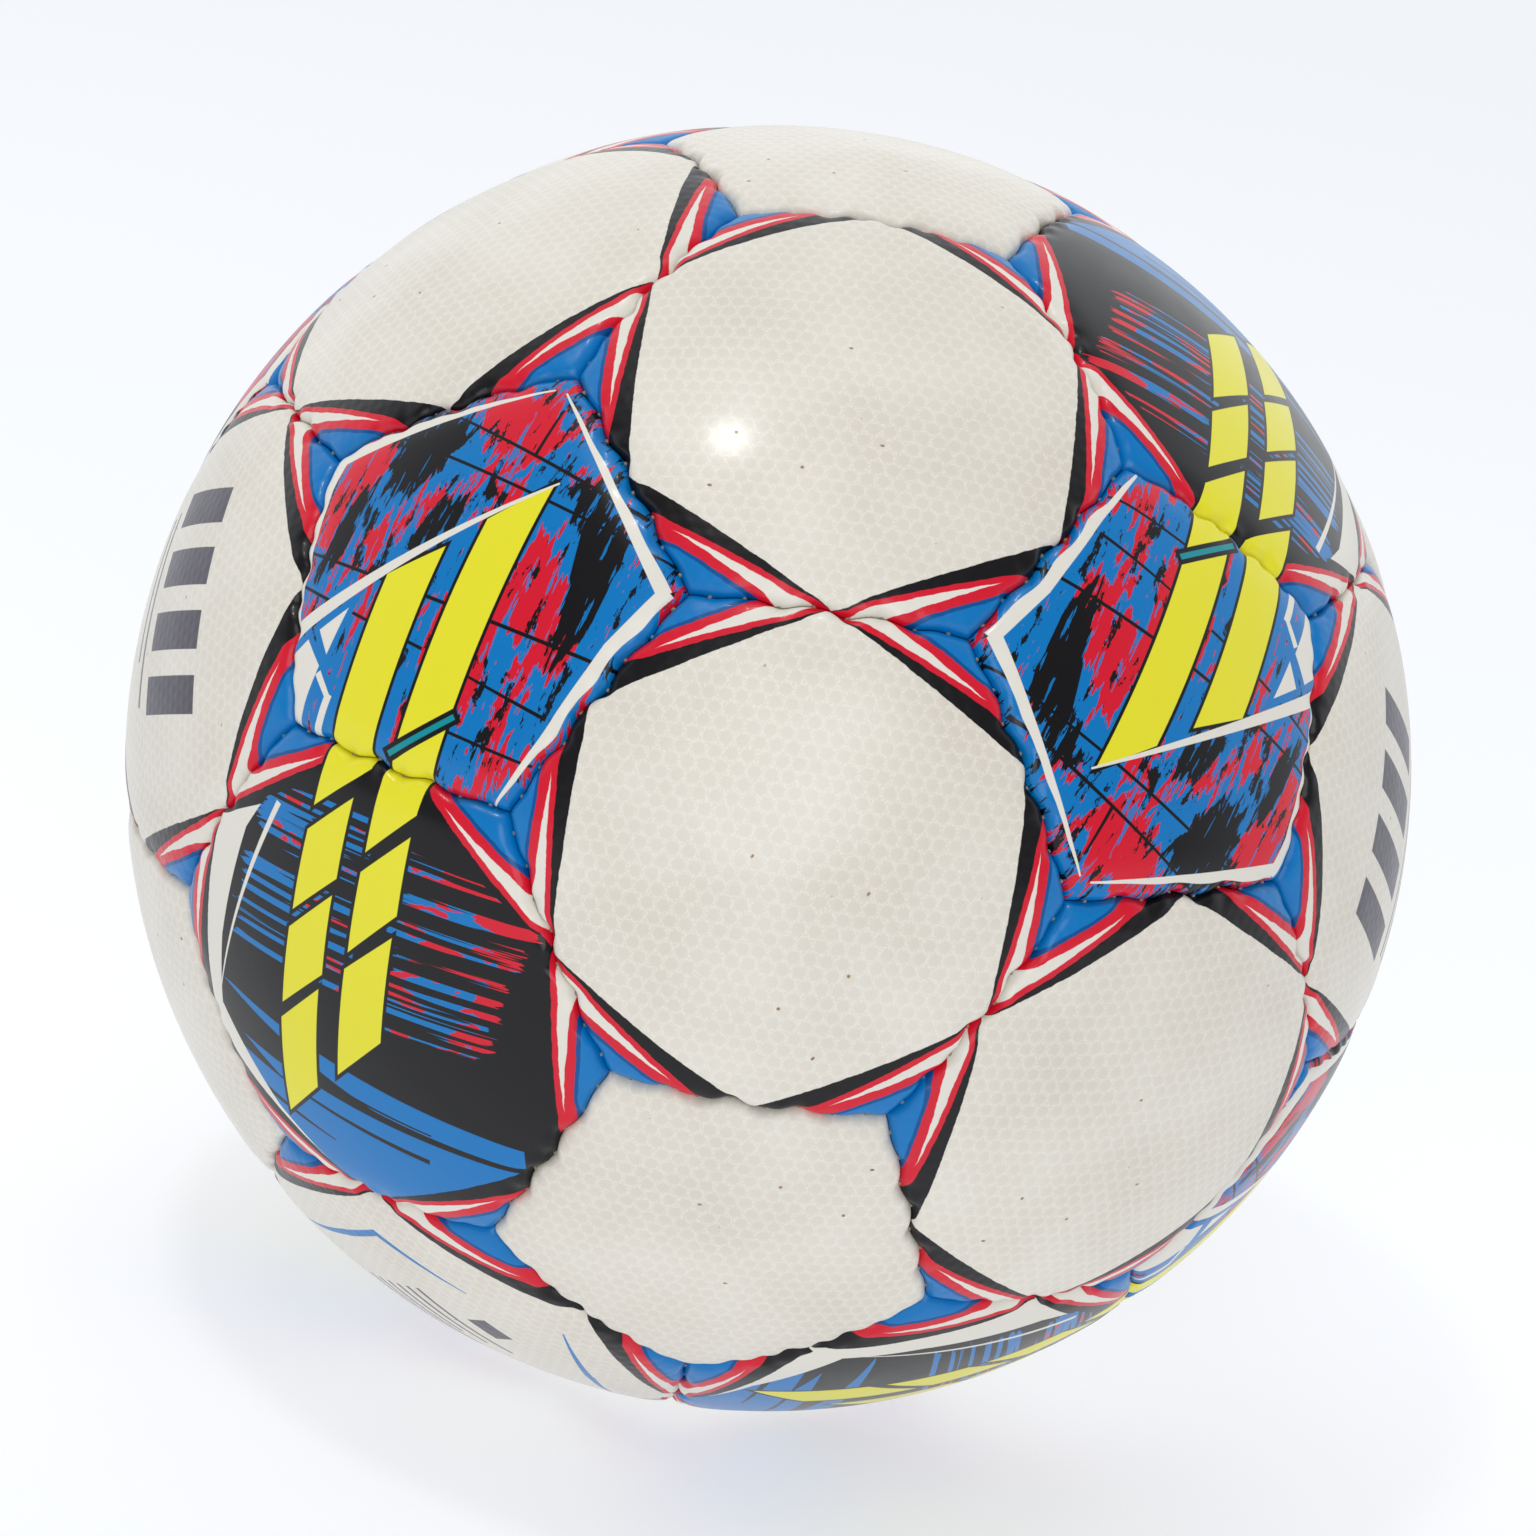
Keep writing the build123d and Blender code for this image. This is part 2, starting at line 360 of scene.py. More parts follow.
def new_group(name, inputs, outputs):
    """An empty shader group with the named sockets."""
    tree = bpy.data.node_groups.new(name, "ShaderNodeTree")
    for label, kind in inputs:
        tree.interface.new_socket(label, in_out="INPUT", socket_type=kind)
    for label, kind in outputs:
        tree.interface.new_socket(label, in_out="OUTPUT", socket_type=kind)
    return tree, tree.nodes.new("NodeGroupInput").outputs, tree.nodes.new("NodeGroupOutput").inputs


def place_group(tree, group, **values):
    """A group in a material, with its inputs fed by name."""
    node = tree.nodes.new("ShaderNodeGroup")
    node.node_tree = group
    for label, value in values.items():
        feed(tree, node.inputs[label], value)
    return node.outputs


cell_pitch = 2.4  # millimetres
cell_depth = 0.05 * MM
cell_relief = 0.22  # the share of the cells and of the dust in the relief
dust_relief = 0.5
# How far the cell walls are lightened towards the painted glint
painted_glint_strength = 0.45
# Turns of the noise in a millimetre
grain_and_glint_size = 3.2
speck_size = 0.5
cloud_size = 0.045


def pearl_group():
    """The pearly coat: warm white, slow clouds, fine grains, a honeycomb of pressed cells, and a painted
    glint on the cell walls in patches.
    """
    tree, given, wanted = new_group(
        "Pearl coat",
        [("Point", "NodeSocketVector")],
        [("Color", "NodeSocketColor"), ("Height", "NodeSocketFloat")],
    )
    point = given["Point"]
    wave = 4 * pi / (sqrt(3) * cell_pitch)
    cells = 0.0
    for turn in (30, 90, 150):
        way = (wave * cos(radians(turn)), wave * sin(radians(turn)), 0)
        phase = vector_maths(tree, "DOT_PRODUCT", point, way)
        cells = maths(tree, "ADD", cells, maths(tree, "COSINE", phase))
    grain_and_glint = grain(tree, point, grain_and_glint_size, rough=0.6)
    # Painted highlight: the cell walls are lightened in patches where the fine grain is high, as glints of
    # light on them
    glinting_walls = maths(tree, "SUBTRACT", 1.0, above(tree, cells, level=-0.45, softness=0.9))
    glinting_walls = maths(tree, "MULTIPLY", glinting_walls, above(tree, grain_and_glint, level=0.5, softness=0.22))
    clouds = above(tree, grain(tree, point, cloud_size), level=0.5, softness=0.5)
    shade = mix_colours(tree, clouds, pearl_white, pearl_shade)
    shade = mix_colours(tree, maths(tree, "MULTIPLY", glinting_walls, painted_glint_strength), shade, painted_glint)
    specks = above(tree, grain(tree, point, speck_size, detail=0.0), level=0.875, softness=0.02)
    shade = mix_colours(tree, specks, shade, speck_brown)
    height = maths(tree, "MULTIPLY_ADD", cells, cell_relief, maths(tree, "MULTIPLY", grain_and_glint, dust_relief))
    tree.links.new(shade, wanted["Color"])
    tree.links.new(height, wanted["Height"])
    return tree


# The star's lines in one corner of a hexagon, in millimetres: x runs to the corner, y to its sides
corner_x = flat_r * tan(hexagon_corner)
field_x = corner_x * 0.75  # the line that joins two edge middles
field_y = corner_x * sqrt(3) / 4
red_lean = 0.1095
spike_x = 37.1
spike_y = 7.2
spike_lean = 0.1128
spike_lean_back = -0.0152
spike_end_y = -16.6
line_x = 38.8
line_lean = 0.012
tip_x = 39.5


def star_group():
    """The star at every corner of the hexagons: black, red with a white spike, and blue at the tip."""
    tree, given, wanted = new_group(
        "Corner stars",
        [("Point", "NodeSocketVector"), ("Field", "NodeSocketColor")],
        [("Color", "NodeSocketColor")],
    )
    axes = tree.nodes.new("ShaderNodeSeparateXYZ")
    tree.links.new(given["Point"], axes.inputs[0])
    angle = maths(tree, "ARCTAN2", axes.outputs[1], axes.outputs[0])
    fold = maths(tree, "PINGPONG", maths(tree, "SUBTRACT", angle, pi / 2), pi / 3)
    away = maths(tree, "SUBTRACT", pi / 6, fold)
    reach = vector_maths(tree, "LENGTH", vector_maths(tree, "MULTIPLY", given["Point"], (1, 1, 0)))
    x = maths(tree, "MULTIPLY", reach, maths(tree, "COSINE", away))
    y = maths(tree, "MULTIPLY", reach, maths(tree, "SINE", away))
    unevenness = maths(tree, "MULTIPLY_ADD", grain(tree, given["Point"], 0.5), 0.5, -0.25)
    x = maths(tree, "ADD", x, unevenness)

    def past(start, slope, level=0.0):
        """A mask of x beyond a line that starts at a distance and leans with y."""
        line = maths(tree, "MULTIPLY_ADD", y, slope, start - slope * level)
        return above(tree, maths(tree, "SUBTRACT", x, line), level=0.0, softness=ink_edge)

    shade = mix_colours(tree, past(field_x, 0), given["Field"], ink_black)
    shade = mix_colours(tree, past(field_x, red_lean, -field_y), shade, ink_red)
    before_spike_end = maths(tree, "SUBTRACT", 1.0, past(spike_x, spike_lean_back, spike_y))
    spike = maths(tree, "MULTIPLY", past(spike_x, spike_lean, spike_y), before_spike_end)
    spike = maths(tree, "MULTIPLY", spike, above(tree, y, level=spike_end_y, softness=0.3))
    shade = mix_colours(tree, spike, shade, ink_white)
    shade = mix_colours(tree, past(line_x, line_lean), shade, ink_blue_dark)
    shade = mix_colours(tree, past(tip_x, 0.0), shade, ink_blue)
    tree.links.new(shade, wanted["Color"])
    return tree


pearl = pearl_group()
stars = star_group()


class Print:
    """One panel's print, built up shape by shape over a ground colour."""

    def __init__(self, name):
        self.material = bpy.data.materials.new(name)
        self.material.use_nodes = True
        self.tree = self.material.node_tree
        self.shader = self.tree.nodes["Principled BSDF"]
        uv = self.tree.nodes.new("ShaderNodeUVMap")
        uv.uv_map = "print"
        flat = vector_maths(self.tree, "MULTIPLY", uv.outputs[0], (flat_r, flat_r, 0))
        self.point = vector_maths(self.tree, "ADD", flat, (0, 0, 1))
        self.shade = None

    def ragged(self, across, along, streak):
        """The print's own places, pushed about so that a shape's edge breaks up into strokes."""
        drift = grain(self.tree, self.point, 1.0, detail=3.0, rough=0.6, stretch=streak)
        shift = maths(self.tree, "SUBTRACT", drift, 0.5)
        push = vector_maths(self.tree, "MULTIPLY", self.combine(shift), (across, along, 0))
        return vector_maths(self.tree, "ADD", self.point, push)

    def across(self):
        """How far each point lies to the right of the panel's middle."""
        return vector_maths(self.tree, "DOT_PRODUCT", self.point, (1, 0, 0))

    def combine(self, value):
        """The same value three times, as a vector."""
        node = self.tree.nodes.new("ShaderNodeCombineXYZ")
        for socket in node.inputs:
            self.tree.links.new(value, socket)
        return node.outputs[0]

    def shape(self, *corners, place=None):
        """How far inside a shape with straight sides and no hollows each point lies."""
        area = sum(a[0] * b[1] - b[0] * a[1] for a, b in zip(corners, corners[1:] + corners[:1]))
        corners = corners if area > 0 else corners[::-1]
        inside = None
        for a, b in zip(corners, corners[1:] + corners[:1]):
            way = Vector((b[0] - a[0], b[1] - a[1])).normalized()
            side = (-way.y, way.x, way.y * a[0] - way.x * a[1])
            depth = vector_maths(self.tree, "DOT_PRODUCT", place or self.point, side)
            inside = depth if inside is None else maths(self.tree, "MINIMUM", inside, depth)
        return inside

    def stroke(self, start, end, start_w, end_w):
        """A straight stroke whose width changes from one end to the other."""
        a, b = Vector(start), Vector(end)
        way = (b - a).normalized()
        side = Vector((-way.y, way.x)) / 2
        start_corners = (a + side * start_w, a - side * start_w)
        end_corners = (b - side * end_w, b + side * end_w)
        return self.shape(*[tuple(corner) for corner in start_corners + end_corners])

    def joined(self, shapes):
        """The shapes taken together."""
        whole = shapes[0]
        for one in shapes[1:]:
            whole = maths(self.tree, "MAXIMUM", whole, one)
        return whole

    def lay(self, ink, *shapes, outline=0.0):
        """Prints shapes in one ink, grown all round by an outline."""
        mask = above(self.tree, self.joined(shapes), level=-outline, softness=ink_edge)
        self.shade = mix_colours(self.tree, mask, self.shade, ink)

    def finish(self, height, lift, roughness, coat):
        """The clear film over the print, and its fine relief."""
        bump = self.tree.nodes.new("ShaderNodeBump")
        bump.inputs["Distance"].default_value = lift
        bump.inputs["Strength"].default_value = 1.0
        self.tree.links.new(height, bump.inputs["Height"])
        self.tree.links.new(bump.outputs[0], self.shader.inputs["Normal"])
        self.tree.links.new(self.shade, self.shader.inputs["Base Color"])
        feed(self.tree, self.shader.inputs["Roughness"], roughness)
        self.shader.inputs["Coat Weight"].default_value = coat
        self.shader.inputs["Coat Roughness"].default_value = 0.14
        self.shader.inputs["Specular IOR Level"].default_value = 0.3
        self.shader.inputs["IOR"].default_value = 1.4
        return self.material


def varied(work, low, high):
    """A roughness that changes slowly over the film."""
    patches = grain(work.tree, work.point, 0.15, detail=3.0)
    return maths(work.tree, "MULTIPLY_ADD", patches, high - low, low)


def inked_film(work):
    """The smooth film over a panel that is printed all over."""
    creases = grain(work.tree, work.point, 1.4, detail=3.0)
    return work.finish(creases, lift=0.012 * MM, roughness=varied(work, low=0.26, high=0.4), coat=0.2)


def pearl_print(name, marks=None, corner_stars=True):
    """A white panel, with its marks and its corner stars."""
    work = Print(name)
    coat = place_group(work.tree, pearl, Point=work.point)
    work.shade = coat["Color"]
    if marks:
        marks(work)
    if corner_stars:
        star = place_group(work.tree, stars, Point=work.point, Field=work.shade)
        work.shade = star["Color"]
    return work.finish(coat["Height"], lift=cell_depth, roughness=varied(work, low=0.3, high=0.46), coat=0.22)


torn_edge = 0.012  # the softness of an edge cut out of noise
redder_to_right = 0.004  # how much the dark panel's lines turn red, for each millimetre to the right


def camo_print():
    """The pentagon's print: torn strokes of red, blue and black under two yellow bars."""
    work = Print("camouflage_print")
    tree = work.tree
    torn = work.ragged(across=4.0, along=14.4, streak=(0.85, 0.09, 1))
    blots = grain(tree, torn, 0.16, detail=3.0, rough=0.6, stretch=(1.0, 0.5, 1))
    scratches = grain(tree, work.point, 1.0, detail=4.0, rough=0.65, stretch=(0.9, 0.12, 1))
    mixed = maths(tree, "MULTIPLY_ADD", scratches, 0.35, maths(tree, "MULTIPLY", blots, 0.75))
    work.shade = mix_colours(tree, above(tree, mixed, level=0.595, softness=0.01), ink_blue, ink_red)
    red = [
        work.shape((-32.4, 13.2), (-24.6, 19.8), (-19.8, 13.8), (-22.8, 2.4), (-28.8, 1.2), place=torn),
        work.shape((-12, 27), (0, 32.2), (7, 25.4), (2.2, 17.6), (-6.6, 21), place=torn),
        work.shape((9.6, 12), (18, 3.6), (18, -4.8), (9, -4.2), place=torn),
        work.shape((-30, 8.4), (-24, 8.4), (-24.6, -3.6), (-28.8, -3.6), place=torn),
    ]
    work.lay(ink_red, *red)
    black = [
        work.shape((-24, 19.8), (-13.2, 24.6), (-8.4, 21), (-13.6, 8.4), (-18.6, 8.4), place=torn),
        work.shape((-24, 4.8), (-20.4, 10.8), (-21, -3.6), (-24.6, -9.6), place=torn),
        work.shape((9.6, 18.6), (15.6, 21), (21, 16.8), (24.6, 10.8), (15.6, 13.2), place=torn),
        work.shape((17.2, 15.6), (24, 12), (23.4, -1.2), (20.4, -7.8), (17.2, 6), place=torn),
        work.shape((10.2, 18), (21.6, 13.8), (20.4, -7.2), (17.4, 6)),
        work.shape((-8.4, 8.4), (-3.6, 12), (-3, 4.8), (-8.4, 0), place=torn),
    ]
    work.lay(ink_black, *black)
    slits = grain(tree, work.point, 1.0, detail=3.0, rough=0.6, stretch=(0.75, 0.08, 1))
    slits = maths(tree, "MULTIPLY", above(tree, slits, level=0.6, softness=torn_edge), 0.9)
    work.shade = mix_colours(tree, slits, work.shade, ink_blue)
    flecks = grain(tree, work.point, 1.0, detail=5.0, rough=0.7, stretch=(0.42, 0.12, 1))
    flecks = above(tree, flecks, level=0.575, softness=torn_edge)
    work.shade = mix_colours(tree, flecks, work.shade, ink_black)
    lines = [
        work.stroke((-24, 24), (24, 18.4), 0.35, 0.7),
        work.stroke((-30, 17.4), (31.2, 13.8), 0.5, 0.5),
        work.stroke((-30.6, -4), (30, -4), 0.5, 0.6),
        work.stroke((-27.6, -9), (0, -11.2), 0.5, 0.5),
        work.stroke((8.4, -12.4), (22.8, -14.2), 0.4, 0.6),
        work.stroke((8.4, -21), (23.4, -21.6), 0.5, 0.5),
        work.stroke((3, 29.4), (3, 21), 0.4, 0.6),
    ]
    work.lay(ink_black, *lines)
    shards = [
        work.shape((-25.8, -21.6), (-21.4, -16.2), (-17.4, -19.2), (-19, -29.4), (-22.2, -28.8)),
        work.shape((-15.4, -9.6), (-19.6, -14.2), (-16.6, -17.2)),
        work.stroke((-17.2, -20.2), (-13.8, -23.2), 1.2, 1.0),
        work.stroke((-13.8, -22.6), (-14.8, -30), 1.4, 1.4),
    ]
    work.lay(ink_blue, *shards, outline=1.1)
    work.lay(ink_white, *shards)
    bars = [
        work.shape((1.2, 9.4), (8.4, 17.8), (8.4, -32.4), (1, -32.4)),
        work.shape((-10.8, -3), (-3.2, 3.6), (-3.2, -32.4), (-11, -32.4)),
    ]
    work.lay(ink_black, *bars, outline=0.55)
    work.lay(ink_yellow, *bars)
    band = work.stroke((0, -27.4), (9, -18.6), 0.9, 0.9)
    work.lay(ink_black, band, outline=0.75)
    work.lay(ink_teal, band)
    piping = [
        work.stroke((-0.6, 32.2), (-31.2, 11.2), 0.3, 2.6),
        work.stroke((-31.2, 12), (-31, 4.8), 2.6, 2.4),
        work.stroke((-31, 5.8), (-29, -2.8), 2.4, 2.0),
        work.stroke((-29.2, -2.2), (-27, -10.8), 2.0, 2.0),
        work.stroke((-27.2, -10.2), (-25, -17.2), 2.0, 2.4),
        work.stroke((-26.2, -17.4), (9, 18.2), 2.4, 0.3),
        work.stroke((1.4, 32.4), (32, 9.2), 0.3, 2.4),
        work.stroke((32.2, 10), (27.6, -1.6), 2.4, 2.2),
        work.stroke((27.8, -1), (23.4, -18), 2.2, 1.5),
        work.stroke((23.6, -17.4), (19.2, -29.8), 1.5, 0.3),
    ]
    work.lay(ink_white, *piping)
    return inked_film(work)


def dark_print():
    """The dark hexagon's print: black, with two yellow ladders and speed lines in blue and red."""
    work = Print("dark_print")
    tree = work.tree
    torn = work.ragged(across=11.7, along=3.25, streak=(0.05, 0.9, 1))
    fast = grain(tree, work.point, 1.0, stretch=(0.012, 0.8, 1))
    hue = grain(tree, work.point, 1.0, detail=3.0, rough=0.6, stretch=(0.09, 0.3, 1))
    redder = maths(tree, "MULTIPLY_ADD", work.across(), redder_to_right, hue)
    stripe = mix_colours(tree, above(tree, redder, level=0.56, softness=torn_edge), ink_blue, ink_red)
    zone = work.joined([
        work.shape((-21.4, 28.6), (-10, 29.4), (-11.4, 0.8), (-25.8, 0.8), place=torn),
        work.shape((-10, 30), (1.4, 30), (0, 0.8), (-12.8, 0.8)),
        work.shape((6.4, 28.6), (33, 26.4), (23, -1.4), (5.8, -1.4), place=torn),
    ])
    inside = above(tree, zone, level=0.0, softness=0.2)
    lines = maths(tree, "MULTIPLY", inside, above(tree, fast, level=0.525, softness=torn_edge))
    work.shade = mix_colours(tree, lines, ink_black, stripe)
    ink = [
        work.shape((-18, -26.4), (-4.2, -42.2), (0, -42.2), (30.8, -21.4), (-6.4, -17.6)),
        work.shape((-28.6, -8), (-26.4, -8), (30.4, -16.4), (30.6, -20.4), (4.2, -17.2)),
        work.shape((-27.6, -14.6), (-7.2, -18), (30.8, -22.2), (-10, -22.2)),
        work.shape((-26.4, -18.6), (-18, -26.4), (-5.8, -21.4)),
    ]
    work.lay(ink_blue, *ink)
    gaps = [
        work.stroke((-26.4, -18.6), (13.6, -23.6), 0.3, 1.0),
        work.stroke((-21.4, -24.4), (-5, -27.4), 1.3, 0.3),
        work.stroke((-28.6, -12.8), (14.4, -18), 0.8, 0.3),
    ]
    work.lay(ink_black, *gaps)
    edge_line = [
        work.stroke((-18.6, 25.8), (-29.8, -10.8), 1.1, 0.2),
        work.shape((-22.6, 24), (-25, 19.4), (-33.6, 14.4), (-33.6, 18.2)),
        work.shape((-25, 19.6), (-28.6, 0), (-34, 0), (-34, 15.8)),
        work.shape((-28.6, 0.8), (-29.8, -13.6), (-34, -20.8), (-34, 0.8)),
        work.stroke((-31.6, -15.4), (-18.6, -28.2), 5.5, 3.2),
        work.stroke((-19.6, -27.4), (-0.8, -39), 3.2, 0.3),
    ]
    work.lay(ink_white, *edge_line)
    star = place_group(tree, stars, Point=work.point, Field=work.shade)
    work.shade = star["Color"]
    rungs = [
        work.shape((-11.4, 40.2), (-2.6, 40.2), (-2.6, 36.8), (-11.2, 28)),
        work.shape((-11.4, 24), (-4, 31.8), (-4.2, 18.6), (-12, 10.8)),
        work.shape((-12.4, 7.8), (-4.6, 15.8), (-5.2, 2.8), (-13.4, -5.2)),
        work.shape((-13.8, -8), (-5.8, 0.2), (-7, -17.6), (-14.8, -26.4)),
        work.shape((0.2, 40.2), (8.2, 40.2), (7.8, 33), (0.2, 24.4)),
        work.shape((0, 21.2), (7.6, 29.4), (7.4, 16.8), (-0.6, 8.2)),
        work.shape((-1, 5.4), (7, 13.2), (6, -4.2), (-2.4, -13.2)),
    ]
    work.lay(ink_black, *rungs, outline=0.6)
    work.lay(ink_yellow, *rungs)
    return inked_film(work)


def big_marks(work):
    """Plain bars where a maker would put a name."""
    bars = [
        work.shape((-22, -8), (-16, -8), (-13, 12), (-19, 12)),
        work.shape((-12, -8), (-6, -8), (-3, 12), (-9, 12)),
        work.shape((-2, -8), (4, -8), (7, 12), (1, 12)),
        work.shape((8, -8), (14, -8), (17, 12), (11, 12)),
    ]
    rules = [work.stroke((-20, -13), (12, -13), 1.2, 1.2), work.stroke((-20, -17), (4, -17), 1.2, 1.2)]
    work.lay(ink_grey, *bars, *rules)


def small_marks(work):
    """Two curved blue sweeps round a few plain rules."""
    sweeps = [
        work.stroke((2.6, 29.4), (18, 15.8), 0.3, 1.4),
        work.stroke((17.6, 16.4), (30.8, 4.2), 1.4, 0.3),
        work.stroke((-10.4, 19.6), (-25, 10.8), 0.3, 1.5),
        work.stroke((-25, 11.4), (-23.6, 0), 1.5, 1.5),
        work.stroke((-23.8, 0.8), (-20.8, -23), 1.5, 0.3),
    ]
    work.lay(ink_blue, *sweeps)
    heights = [6 - 3.2 * i for i in range(6)]
    rules = [work.stroke((-11, y), (9 - 3 * (i % 3), y), 1.0, 1.0) for i, y in enumerate(heights)]
    work.lay(ink_grey, *rules, work.shape((-3, 10), (3, 10), (3, 15), (-3, 15)))


pearl_pentagon = pearl_print("pearl_pentagon", corner_stars=False)
pearl_hexagon = pearl_print("pearl_hexagon")
marked_hexagon = pearl_print("marked_hexagon", big_marks)
labelled_hexagon = pearl_print("labelled_hexagon", small_marks)
camo_pentagon = camo_print()
dark_hexagon = dark_print()
for name, cover in covers.items():
    if name in dark_of:
        finish, slot = camo_pentagon, "camo_cover"
    elif name in camo_of:
        finish, slot = dark_hexagon, "dark_cover"
    elif name == "hexagon_bottom_1":
        finish, slot = labelled_hexagon, "pearl_cover"
    elif name in ("hexagon_upper_2", "hexagon_upper_5"):
        finish, slot = marked_hexagon, "pearl_cover"
    else:
        finish, slot = (pearl_pentagon if name in pentagons else pearl_hexagon), "pearl_cover"
    cover.data.materials.append(finish)

# Thread: waxed polyester cord in a saddle stitch, pulled tight by hand. Two ends pass through every hole
# and lie along the hidden side of the turned-in edges, and each crossing shows as a short bar deep in
# the seam.
thread_r = 0.32 * MM
stitch_r = ball_r - 2.8 * MM  # from the ball's middle to the stitch holes
bend_r = 0.42 * MM  # the turn of a thread's middle as it leaves a hole
thread_row = half_gap + flange_t + bend_r
thread_lift = 0.33 * MM
thread_tail = 1.2 * MM
bar_depth = 2.3 * MM
bar_sunk = 2.9 * MM  # the depth of a bar's ends
bar_half = 0.85 * MM
bar_slant = 0.35 * MM
bar_flat = 0.45  # the share of a bar's half that stays level


def seam_place(out, along, distance, travel, across):
    """A place on a seam, from the distance to the ball's middle, along the seam and across it."""
    a = travel / stitch_r
    return distance * (out * cos(a) + along * sin(a)) + out.cross(along) * across


def lay_thread(curve, points):
    """One run of thread through its points."""
    run = curve.splines.new("NURBS")
    run.points.add(len(points) - 1)
    for place, point in zip(points, run.points):
        point.co = (*place, 1)
    run.order_u = 3
    run.use_endpoint_u = True


def stitch_seam(curve, out, along):
    """The saddle stitch of one seam, and the bars of thread that show in it."""
    places = stitch_places()
    for first_side in (1, -1):
        side = first_side
        level = stitch_r + side * thread_lift
        points = [seam_place(out, along, level, places[0] - thread_tail, side * thread_row)]
        for place in places:
            points.append(seam_place(out, along, level, place, side * thread_row))
            side = -side
            points.append(seam_place(out, along, level, place, side * thread_row))
        points.append(seam_place(out, along, level, places[-1] + thread_tail, side * thread_row))
        lay_thread(curve, points)
    for i, place in enumerate(places):
        lean = bar_slant * (-1) ** i
        sideways = seam_weave(place)
        bar = []
        for t, depth in ((-1, bar_sunk), (-bar_flat, bar_depth), (bar_flat, bar_depth), (1, bar_sunk)):
            bar.append(seam_place(out, along, ball_r - depth, place + lean * t, bar_half * t - sideways))
        lay_thread(curve, bar)


def thread_piece(name, seams):
    """All the thread of the given seams, as one piece."""
    curve = bpy.data.curves.new(name, "CURVE")
    curve.dimensions = "3D"
    curve.resolution_u = 3
    curve.bevel_depth = thread_r
    curve.bevel_resolution = 1
    curve.use_fill_caps = True
    for out, along in seams:
        stitch_seam(curve, out, along)
    piece = bpy.data.objects.new(name, curve)
    bpy.context.scene.collection.objects.link(piece)
    return piece


def plain_material(name, roughness, **inputs):
    """A material with its shader's own values set, and its tree and shader."""
    material = bpy.data.materials.new(name)
    material.use_nodes = True
    shader = material.node_tree.nodes["Principled BSDF"]
    shader.inputs["Roughness"].default_value = roughness
    for label, value in inputs.items():
        shader.inputs[label.replace("_", " ").title()].default_value = value
    return material, material.node_tree, shader


def object_point(tree):
    """The place on the object, in millimetres."""
    place = tree.nodes.new("ShaderNodeTexCoord")
    return vector_maths(tree, "MULTIPLY", place.outputs["Object"], (1 / MM, 1 / MM, 1 / MM))


def relief(tree, shader, height, lift):
    """A fine relief on a shader."""
    bump = tree.nodes.new("ShaderNodeBump")
    bump.inputs["Distance"].default_value = lift
    tree.links.new(height, bump.inputs["Height"])
    tree.links.new(bump.outputs[0], shader.inputs["Normal"])


waxed_thread, tree, shader = plain_material("waxed_thread", 0.5, coat_weight=0.1)
fibres = grain(tree, object_point(tree), 5.0, detail=3.0, rough=0.7)
thread_dark = colour(92, 80, 62)
thread_light = colour(182, 168, 140)
feed(tree, shader.inputs["Base Color"], mix_colours(tree, fibres, thread_dark, thread_light))
relief(tree, shader, fibres, 0.08 * MM)

# Two panels are neighbours where the cosine of the angle between their middles is over these
hexagon_beside = 0.75
pentagon_beside = 0.4
for name in pentagons:
    out = middles[name]
    seams = []
    for hexagon in (middles[h] for h in hexagons):
        if hexagon.dot(out) > hexagon_beside:
            side = (hexagon - hexagon.dot(out) * out).normalized()
            middle = out * cos(pentagon_edge) + side * sin(pentagon_edge)
            seams.append((middle, out.cross(side)))
    piece = thread_piece(f"stitching_{name}", seams)
    piece.data.materials.append(waxed_thread)
    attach(piece, "root")
    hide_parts(f"thread_{name}")

seams = []
pentagon_middles = [middles[name] for name in pentagons]
for i, a in enumerate(pentagon_middles):
    for b in pentagon_middles[i + 1:]:
        if a.dot(b) > pentagon_beside:
            seams.append(((a + b).normalized(), (b - a).normalized()))
piece = thread_piece("stitching_hexagons", seams)
piece.data.materials.append(waxed_thread)
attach(piece, "root")
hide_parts("thread_hexagons")


def dress(names, material):
    """Gives the frame's own pieces a finish."""
    for name in names:
        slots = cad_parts[name].material_slots
        for slot in slots:
            slot.material = material
        if not slots:
            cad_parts[name].data.materials.append(material)


# Foam: pads of soft closed-cell foam that give the cover its bounce. They are cut from sheet and glued
# behind the panels.
foam, tree, shader = plain_material("cell_foam", 0.85)
pores = tree.nodes.new("ShaderNodeTexVoronoi")
feed(tree, pores.inputs["Vector"], object_point(tree))
pores.inputs["Scale"].default_value = 1.3
foam_light = colour(236, 230, 214)
foam_dark = colour(206, 196, 172)
feed(tree, shader.inputs["Base Color"], mix_colours(tree, pores.outputs["Distance"], foam_light, foam_dark))
relief(tree, shader, pores.outputs["Distance"], 0.15 * MM)
dress(("foam_pentagons", "foam_hexagons"), foam)

